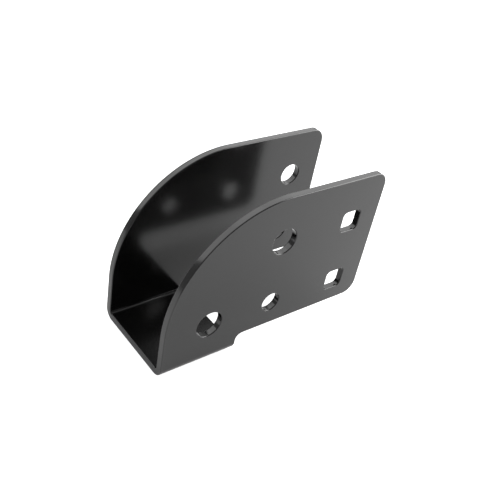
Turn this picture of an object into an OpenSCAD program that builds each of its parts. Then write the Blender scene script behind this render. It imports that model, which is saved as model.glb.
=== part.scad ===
// Handle bracket: one laser-cut steel sheet folded into a U. Two cheeks clasp a handle tube, which
// turns on a bolt through the pivot hole and is held by a pin in either of the two lock holes.
// X runs from the front arc to the rear bolts, Y across the gap, and Z up from the web's underside.
// The origin is on that underside, below the pivot and half-way across the gap.

/* [Sheet] */
// Thickness of the steel sheet
sheet_t = 2.5; // [1.5:0.5:3]
// Clear gap between the two cheeks
gap_w = 37; // [20:1:80]
// Inside radius of the two folds
fold_r = 2; // [1:0.5:3]
// Rounding of every cut edge, on the outline and at the holes
edge_r = 0.4; // [0.2:0.1:0.5]

/* [Cheek outline] */
// Length of a cheek from its front edge to its rear edge
cheek_l = 100; // [80:1:140]
// Radius of the large front arc, which is drawn about the pivot
arc_r = 50; // [42:1:65]
// Rounding of the upper rear corner
top_corner_r = 6; // [1:0.5:12]
// Rounding of the lower rear corner
bottom_corner_r = 6; // [1:0.5:12]

/* [Web] */
// Length of the web, measured from the front edge
web_l = 35; // [15:1:45]
// Height at which the cheeks' bottom edge runs behind the web
step_h = 9; // [8:0.5:12]
// Rounding of the inner corner where the web's end meets that bottom edge
relief_r = 3; // [1:0.5:4]

/* [Pivot and locks] */
// Height of the pivot axis above the web's underside
pivot_h = 20; // [16:1:40]
// Diameter of the pivot hole through both cheeks
pivot_d = 8.5; // [5:0.5:14]
// Distance of the lock holes from the pivot
lock_r = 30; // [24:1:38]
// Turn of the handle from one lock hole to the other, in degrees
lock_turn = 90; // [45:5:105]
// Diameter of the lock holes
lock_d = 11.5; // [6:0.5:16]

/* [Rear bolts] */
// Distance of the bolt row from the rear edge
bolt_inset = 15; // [12:0.5:30]
// Height of the upper bolt above the lower one, which is level with the pivot
bolt_pitch = 30; // [20:1:36]
// Width of the square holes that keep the bolts' necks from turning
neck_w = 9; // [7:0.5:13]
// Rounding of the square holes' corners
neck_r = 2; // [1:0.25:3]
// Diameter of the round holes that the bolts leave through
bolt_d = 9.5; // [6:0.5:14]

/* [Hidden] */
$fn = 128;

black_coat = [0.06, 0.06, 0.065];

side_w = gap_w / 2 + sheet_t;        // from the mid-plane to a cheek's outer face
cheek_mid = (gap_w + sheet_t) / 2;   // from the mid-plane to the middle of a cheek's thickness
front_x = -arc_r;
rear_x = cheek_l - arc_r;
web_end_x = front_x + web_l;
top_z = pivot_h + arc_r;
bolt_x = rear_x - bolt_inset;
over = 1;                            // how far each cutter runs past what it cuts
skim = 0.3;                          // the same for the waste along a cut edge
near = -1;                           // the side with the lock holes and the square holes
far = 1;                             // the side with the round bolt holes

// What is cut off a square corner to leave it rounded. The corner is at [x, y], and the sheet lies
// on its sx, sy side.
module corner_waste(x, y, sx, sy, r, over = over) {
    translate([x, y]) mirror([sx < 0 ? 1 : 0, 0]) mirror([0, sy < 0 ? 1 : 0])
        difference() {
            translate([-over, -over]) square(r + over);
            translate([r, r]) circle(r = r);
        }
}

// Outline of both cheeks and the web seen from the side, X to the right and Z up
module side_outline() {
    difference() {
        translate([front_x, 0]) square([cheek_l, top_z]);
        corner_waste(front_x, top_z, 1, -1, arc_r);
        corner_waste(rear_x, top_z, -1, -1, top_corner_r);
        step_waste();
        corner_waste(rear_x, step_h, -1, 1, bottom_corner_r);
    }
}

// The strip below the cheeks' bottom edge, from the web's end to the rear
module step_waste() {
    difference() {
        translate([web_end_x, -over]) square([rear_x - web_end_x + over, step_h + over]);
        corner_waste(web_end_x, step_h, 1, -1, relief_r);
    }
}

// The folded sheet seen from the front, Y to the right and Z up
module fold_section() {
    difference() {
        translate([-side_w, 0]) square([2 * side_w, top_z]);
        corner_waste(-side_w, 0, 1, 1, fold_r + sheet_t);
        corner_waste(side_w, 0, -1, 1, fold_r + sheet_t);
        difference() {
            translate([-gap_w / 2, sheet_t]) square([gap_w, top_z]);
            corner_waste(-gap_w / 2, sheet_t, 1, 1, fold_r);
            corner_waste(gap_w / 2, sheet_t, -1, 1, fold_r);
        }
    }
}

// Section of what the rounding takes off along a cut edge. The cut face is the line x = 0 with the
// sheet to its right, and the sheet's outer and inner faces are y = 0 and y = -sheet_t.
module edge_waste() {
    corner_waste(0, 0, 1, -1, edge_r, skim);
    corner_waste(0, -sheet_t, 1, 1, edge_r, skim);
}

// A walk along the cut edge goes along +Y, with the sheet on its right and the outer face up. Each of
// these modules draws the waste along one stretch and puts its children at the end of it.
module edge_run(l) {
    translate([0, l, 0]) {
        rotate([90, 0, 0]) linear_extrude(height = l) edge_waste();
        children();
    }
}

// A quarter turn to the right, about a point in the sheet
module edge_turn_right(r) {
    translate([r, 0, 0]) rotate(90) rotate_extrude(angle = 90)
        translate([r, 0]) mirror([1, 0]) edge_waste();
    translate([r, r, 0]) rotate(-90) children();
}

// A quarter turn to the left, about a point off the sheet
module edge_turn_left(r) {
    translate([-r, 0, 0]) rotate_extrude(angle = 90) translate([r, 0]) edge_waste();
    translate([-r, r, 0]) rotate(90) children();
}

// Over a fold, about a point below the inner face
module edge_fold(r) {
    outer_r = r + sheet_t;
    translate([0, 0, -outer_r]) rotate([0, -90, 0]) rotate_extrude(angle = 90)
        translate([outer_r, 0]) rotate(-90) edge_waste();
    translate([0, outer_r, -outer_r]) rotate([-90, 0, 0]) children();
}

// From the middle of the web's front, round one cheek, to the middle of the web's end
module half_edge_walk() {
    fold_outer_r = fold_r + sheet_t;
    translate([front_x, 0, 0]) rotate([180, 0, 0])
        edge_run(gap_w / 2 - fold_r)
        edge_fold(fold_r)
        edge_run(pivot_h - fold_outer_r)
        edge_turn_right(arc_r)
        edge_run(rear_x - top_corner_r)
        edge_turn_right(top_corner_r)
        edge_run(top_z - top_corner_r - step_h - bottom_corner_r)
        edge_turn_right(bottom_corner_r)
        edge_run(rear_x - bottom_corner_r - web_end_x - relief_r)
        edge_turn_left(relief_r)
        edge_run(step_h - relief_r - fold_outer_r)
        edge_fold(fold_r)
        edge_run(gap_w / 2 - fold_r);
}

// Puts a hole's cutter at [x, z] in one cheek
module in_cheek(side, x, z) {
    translate([x, side * cheek_mid, z]) rotate([90, 0, 0]) children();
}

module round_hole(d) {
    cylinder(d = d, h = sheet_t + 2 * over, center = true);
    translate([0, 0, sheet_t / 2]) rotate_extrude() translate([d / 2, 0]) edge_waste();
}

module square_hole(w, r) {
    linear_extrude(height = sheet_t + 2 * over, center = true)
        difference() {
            square(w, center = true);
            for (sx = [-1, 1], sy = [-1, 1])
                corner_waste(-sx * w / 2, -sy * w / 2, sx, sy, r);
        }
    for (a = [0 : 90 : 270])
        rotate(a) translate([w / 2, r - w / 2, sheet_t / 2]) edge_run(w - 2 * r) edge_turn_left(r);
}

// The sheet: the folded section and the side outline in common, less the holes and the rounding of
// every cut edge
module bracket() {
    color(black_coat)
        difference() {
            intersection() {
                translate([front_x - over, 0, 0]) rotate([90, 0, 90])
                    linear_extrude(height = cheek_l + 2 * over) fold_section();
                rotate([90, 0, 0])
                    linear_extrude(height = 2 * side_w + 2 * over, center = true) side_outline();
            }
            half_edge_walk();
            mirror([0, 1, 0]) half_edge_walk();
            for (side = [near, far])
                in_cheek(side, 0, pivot_h) round_hole(pivot_d);
            for (turn = [0, lock_turn])
                in_cheek(near, -lock_r * cos(turn), pivot_h + lock_r * sin(turn)) round_hole(lock_d);
            for (z = [pivot_h, pivot_h + bolt_pitch]) {
                in_cheek(near, bolt_x, z) square_hole(neck_w, neck_r);
                in_cheek(far, bolt_x, z) round_hole(bolt_d);
            }
        }
}

bracket();
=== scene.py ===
import math

import bmesh
import bpy
from mathutils import Matrix, Vector


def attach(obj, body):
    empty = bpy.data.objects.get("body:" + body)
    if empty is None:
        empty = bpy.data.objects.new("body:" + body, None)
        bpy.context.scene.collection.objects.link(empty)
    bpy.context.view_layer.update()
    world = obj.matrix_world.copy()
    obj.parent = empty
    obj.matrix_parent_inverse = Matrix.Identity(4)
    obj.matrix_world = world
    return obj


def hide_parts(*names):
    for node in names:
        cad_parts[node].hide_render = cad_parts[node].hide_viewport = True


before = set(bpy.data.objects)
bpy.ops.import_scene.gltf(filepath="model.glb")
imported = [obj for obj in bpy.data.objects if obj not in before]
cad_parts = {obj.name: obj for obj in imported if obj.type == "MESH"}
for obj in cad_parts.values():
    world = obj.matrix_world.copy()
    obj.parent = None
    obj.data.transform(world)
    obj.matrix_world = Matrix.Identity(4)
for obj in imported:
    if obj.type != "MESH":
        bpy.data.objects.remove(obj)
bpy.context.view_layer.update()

# The bracket is one steel sheet: laser-cut flat with all its holes, its cut edges rounded, and
# folded up twice over the nose of a press brake. It is drawn by its inner skin, because the nose
# sets that skin, and the sheet's thickness then goes on outside.
SHEET = 0.003           # thickness of the steel
GAP = 0.036             # between the cheeks
NOSE = 0.0015           # inside radius of both folds
ROUND = 0.0004          # rounding of every cut edge
FRONT, REAR = -0.050, 0.050
WEB_END = -0.015        # the web joins the cheeks from the front edge to here
STEP = 0.0085           # height of the cheeks' bottom edge behind the web
PIVOT = 0.020           # height of the pivot, above the web's underside
ARC = 0.050             # radius of the front arc about the pivot
TOP = PIVOT + ARC
REAR_CORNER = 0.006
RELIEF = 0.003          # rounding of the inner corner behind the web
LOCK = 0.030            # from the pivot to either lock hole
BOLT_X, BOLT_PITCH = 0.035, 0.030
PIVOT_D, LOCK_D, BOLT_D = 0.0085, 0.0115, 0.0095
NECK, NECK_CORNER = 0.0095, 0.002   # the square holes and their corners
NEAR, FAR = -1, 1       # the cheek with lock holes and square holes, and the one with round ones
TOUCH = 1e-7            # points this near each other are in one place

# How many straight lines each curve is drawn with
ARC_LINES, CORNER_LINES, RELIEF_LINES, FOLD_LINES = 56, 14, 10, 10
HOLE_LINES, NECK_LINES = 64, 8

skin = bmesh.new()
near_edge = skin.edges.new([skin.verts.new((x, NEAR * (GAP / 2 - NOSE), SHEET))
                            for x in (FRONT, WEB_END)])
web = bmesh.ops.extrude_edge_only(skin, edges=[near_edge])["geom"]
bmesh.ops.translate(skin, vec=(0, GAP - 2 * NOSE, 0),
                    verts=[v for v in web if isinstance(v, bmesh.types.BMVert)])


def round_corner(x, z, radius, lines):
    """Rounds the cheek's corner that stands at x, z."""
    corner = min(skin.verts, key=lambda v: (v.co - Vector((x, side * GAP / 2, z))).length)
    bmesh.ops.bevel(skin, geom=[corner], offset=radius, offset_type='OFFSET', segments=lines,
                    profile=0.5, affect='VERTICES', material=-1)


def round_rim(x, z, width):
    """Draws the rim of a round hole in the cheek and gives its edges."""
    flat = Matrix.Translation((x, side * GAP / 2, z)) @ Matrix.Rotation(math.pi / 2, 4, 'X')
    ring = bmesh.ops.create_circle(skin, segments=HOLE_LINES, radius=width / 2,
                                   matrix=flat)["verts"]
    return list({e for v in ring for e in v.link_edges})


def square_rim(x, z, width, corner):
    """Draws the rim of a square hole with rounded corners and gives its edges."""
    flat = Matrix.Translation((x, side * GAP / 2, z)) @ Matrix.Rotation(math.pi / 2, 4, 'X')
    ring = bmesh.ops.create_circle(skin, cap_ends=True, segments=4, radius=width / math.sqrt(2),
                                   matrix=flat @ Matrix.Rotation(math.pi / 4, 4, 'Z'))["verts"]
    ring = bmesh.ops.bevel(skin, geom=ring, offset=corner, offset_type='OFFSET',
                           segments=NECK_LINES, profile=0.5, affect='VERTICES',
                           material=-1)["verts"]
    rim = list({e for v in ring for e in v.link_edges})
    bmesh.ops.delete(skin, geom=list({f for e in rim for f in e.link_faces}), context='FACES_ONLY')
    return rim


for side in (NEAR, FAR):
    fold_y = side * (GAP / 2 - NOSE)
    start = [e for e in skin.edges if all(abs(v.co.y - fold_y) < TOUCH and v.co.z < SHEET + TOUCH
                                          for v in e.verts)]
    fold = bmesh.ops.spin(skin, geom=start + list(start[0].verts), cent=(0, fold_y, SHEET + NOSE),
                          axis=(1, 0, 0), angle=side * math.pi / 2, steps=FOLD_LINES)["geom_last"]
    front_foot, rear_foot = sorted([v for v in fold if isinstance(v, bmesh.types.BMVert)],
                                   key=lambda v: v.co.x)
    corners = [skin.verts.new((x, side * GAP / 2, z)) for x, z in
               ((FRONT, TOP), (REAR, TOP), (REAR, STEP), (WEB_END, STEP))]
    skin.faces.new([front_foot] + corners + [rear_foot])
    round_corner(FRONT, TOP, ARC, ARC_LINES)
    round_corner(REAR, TOP, REAR_CORNER, CORNER_LINES)
    round_corner(REAR, STEP, REAR_CORNER, CORNER_LINES)
    round_corner(WEB_END, STEP, RELIEF, RELIEF_LINES)
    cheek = max(skin.faces, key=lambda f: len(f.verts))
    rims = list(cheek.edges)
    bmesh.ops.delete(skin, geom=[cheek], context='FACES_ONLY')
    rims += round_rim(0, PIVOT, PIVOT_D)
    if side == NEAR:
        rims += round_rim(-LOCK, PIVOT, LOCK_D) + round_rim(0, PIVOT + LOCK, LOCK_D)
    for z in (PIVOT, PIVOT + BOLT_PITCH):
        if side == NEAR:
            rims += square_rim(BOLT_X, z, NECK, NECK_CORNER)
        else:
            rims += round_rim(BOLT_X, z, BOLT_D)
    bmesh.ops.triangle_fill(skin, use_beauty=True, edges=rims, normal=(0, side, 0))

bmesh.ops.recalc_face_normals(skin, faces=skin.faces)
skin.normal_update()
lowest = min(skin.faces, key=lambda f: f.calc_center_median().z)
if lowest.normal.z > 0:
    bmesh.ops.reverse_faces(skin, faces=skin.faces)
mesh = bpy.data.meshes.new("bracket_sheet")
skin.to_mesh(mesh)
skin.free()
mesh.shade_smooth()
sheet = bpy.data.objects.new("bracket_sheet", mesh)
bpy.context.scene.collection.objects.link(sheet)

wall = sheet.modifiers.new("thickness", 'SOLIDIFY')
wall.thickness = SHEET
wall.offset = 1
wall.use_even_offset = True
wall.use_quality_normals = True
rounding = sheet.modifiers.new("rounded edges", 'BEVEL')
rounding.width = ROUND
rounding.segments = 4
rounding.limit_method = 'ANGLE'
rounding.angle_limit = math.radians(50)
rounding.use_clamp_overlap = False
rounding.loop_slide = False
flats = sheet.modifiers.new("flat faces", 'WEIGHTED_NORMAL')
flats.weight = 100
flats.keep_sharp = False


class Socket:
    """A shader value. Arithmetic on it adds the Math nodes."""

    def __init__(self, tree, socket):
        self.tree, self.socket = tree, socket

    def node(self, kind, settings=None, **inputs):
        """Adds a node. An input is named with _ for a space, or as i0, i1 by its number."""
        made = self.tree.nodes.new(kind)
        for name, value in (settings or {}).items():
            setattr(made, name, value)
        for name, value in inputs.items():
            target = made.inputs[int(name[1:]) if name[0] == "i" and name[1:].isdigit()
                                 else name.replace("_", " ")]
            if isinstance(value, Socket):
                self.tree.links.new(value.socket, target)
            else:
                target.default_value = value
        return Socket(self.tree, made.outputs[0])

    def math(self, operation, a, b):
        return self.node('ShaderNodeMath', settings={"operation": operation}, i0=a, i1=b)

    def __add__(self, other):
        return self.math('ADD', self, other)

    def __mul__(self, other):
        return self.math('MULTIPLY', self, other)

    __radd__, __rmul__ = __add__, __mul__


# The coat is baked powder: a nearly black film with a fine orange peel and a slightly uneven gloss.
coat = bpy.data.materials.new("satin_black_coat")
coat.use_nodes = True
tree = coat.node_tree
tree.nodes.clear()
place = Socket(tree, tree.nodes.new('ShaderNodeTexCoord').outputs["Object"])
peel = place.node('ShaderNodeTexNoise', Vector=place, Scale=900.0, Detail=2.0, Roughness=0.5)
cloud = place.node('ShaderNodeTexNoise', Vector=place, Scale=60.0, Detail=3.0, Roughness=0.6)
relief = place.node('ShaderNodeBump', Strength=0.06, Distance=0.00004, Height=peel)
film = place.node('ShaderNodeBsdfPrincipled', Base_Color=(0.002, 0.002, 0.002, 1.0),
                  Roughness=0.13 + 0.04 * cloud, IOR=1.6, Normal=relief)
tree.links.new(film.socket, tree.nodes.new('ShaderNodeOutputMaterial').inputs["Surface"])
mesh.materials.append(coat)
for material_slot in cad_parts["bracket"].material_slots:
    material_slot.material = coat
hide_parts("bracket")
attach(sheet, "root")

# The floor is a plain white studio table. It shows white to the camera and in the coat, and takes
# the bracket's own soft shadow.
TABLE = 6.0             # side of the table's top
PAINT = 0.85            # how much light its white paint throws back
SEEN_LIFT = 0.78        # added where the camera looks at it
MIRRORED_LIFT = 0.16    # added where the coat mirrors it
top = bmesh.new()
bmesh.ops.create_grid(top, x_segments=1, y_segments=1, size=TABLE / 2)
table_mesh = bpy.data.meshes.new("table")
top.to_mesh(table_mesh)
top.free()
table = bpy.data.objects.new("table", table_mesh)
bpy.context.scene.collection.objects.link(table)
white = bpy.data.materials.new("white_table")
white.use_nodes = True
tree = white.node_tree
tree.nodes.clear()
ray = tree.nodes.new('ShaderNodeLightPath')
seen = Socket(tree, ray.outputs["Is Camera Ray"])
mirrored = Socket(tree, ray.outputs["Is Glossy Ray"])
paint = seen.node('ShaderNodeBsdfDiffuse', Color=(PAINT, PAINT, PAINT, 1.0))
lift = seen.node('ShaderNodeEmission', Color=(1.0, 1.0, 1.0, 1.0),
                 Strength=SEEN_LIFT * seen + MIRRORED_LIFT * mirrored)
both = seen.node('ShaderNodeAddShader', i0=paint, i1=lift)
tree.links.new(both.socket, tree.nodes.new('ShaderNodeOutputMaterial').inputs["Surface"])
table_mesh.materials.append(white)

# The studio is a white room with three soft boxes: a wide one behind the bracket, a small one over
# it and one at its right. The room shows full white to the camera, and lights with less.
ROOM_LIGHT = 0.4
MIDDLE = Vector((0, 0, 0.03))       # the soft boxes face this point of the bracket
room = bpy.data.worlds.new("room")
bpy.context.scene.world = room
room.use_nodes = True
tree = room.node_tree
tree.nodes.clear()
ray = tree.nodes.new('ShaderNodeLightPath')
seen = Socket(tree, ray.outputs["Is Camera Ray"])
glow = seen.node('ShaderNodeBackground', Color=(1.0, 1.0, 1.0, 1.0),
                 Strength=ROOM_LIGHT + (1 - ROOM_LIGHT) * seen)
tree.links.new(glow.socket, tree.nodes.new('ShaderNodeOutputWorld').inputs["Surface"])


def soft_box(name, at, width, height, watts):
    light = bpy.data.lights.new(name, 'AREA')
    light.shape = 'RECTANGLE'
    light.size, light.size_y = width, height
    light.energy = watts
    lamp = bpy.data.objects.new(name, light)
    bpy.context.scene.collection.objects.link(lamp)
    lamp.location = at
    lamp.rotation_euler = (MIDDLE - Vector(at)).to_track_quat('-Z', 'Y').to_euler()


soft_box("back softbox", at=(0.15, 0.85, 0.85), width=3.0, height=1.0, watts=16)
soft_box("top softbox", at=(0, 0.55, 0.80), width=0.4, height=0.4, watts=0.15)
soft_box("side softbox", at=(1.05, -0.4, 0.6), width=1.3, height=1.1, watts=28)

# The camera stands in front of the near cheek and above it, rolled, as the photograph was framed.
AIM = Vector((0.00214, -0.00102, 0.03184))
DISTANCE = 0.29481
AZIMUTH, ELEVATION, ROLL = -43.93, 35.18, 11.66
FOCAL_LENGTH = 51.81
back = Vector((0, -1, 0))
back.rotate(Matrix.Rotation(math.radians(-ELEVATION), 3, 'X'))
back.rotate(Matrix.Rotation(math.radians(AZIMUTH), 3, 'Z'))
lens = bpy.data.cameras.new("camera")
lens.lens = FOCAL_LENGTH
lens.sensor_width = 36
lens.clip_start = 0.01
camera = bpy.data.objects.new("camera", lens)
bpy.context.scene.collection.objects.link(camera)
camera.matrix_world = (Matrix.Translation(AIM + DISTANCE * back)
                       @ back.to_track_quat('Z', 'Y').to_matrix().to_4x4()
                       @ Matrix.Rotation(math.radians(ROLL), 4, 'Z'))
bpy.context.scene.camera = camera
bpy.context.scene.view_settings.view_transform = 'Standard'
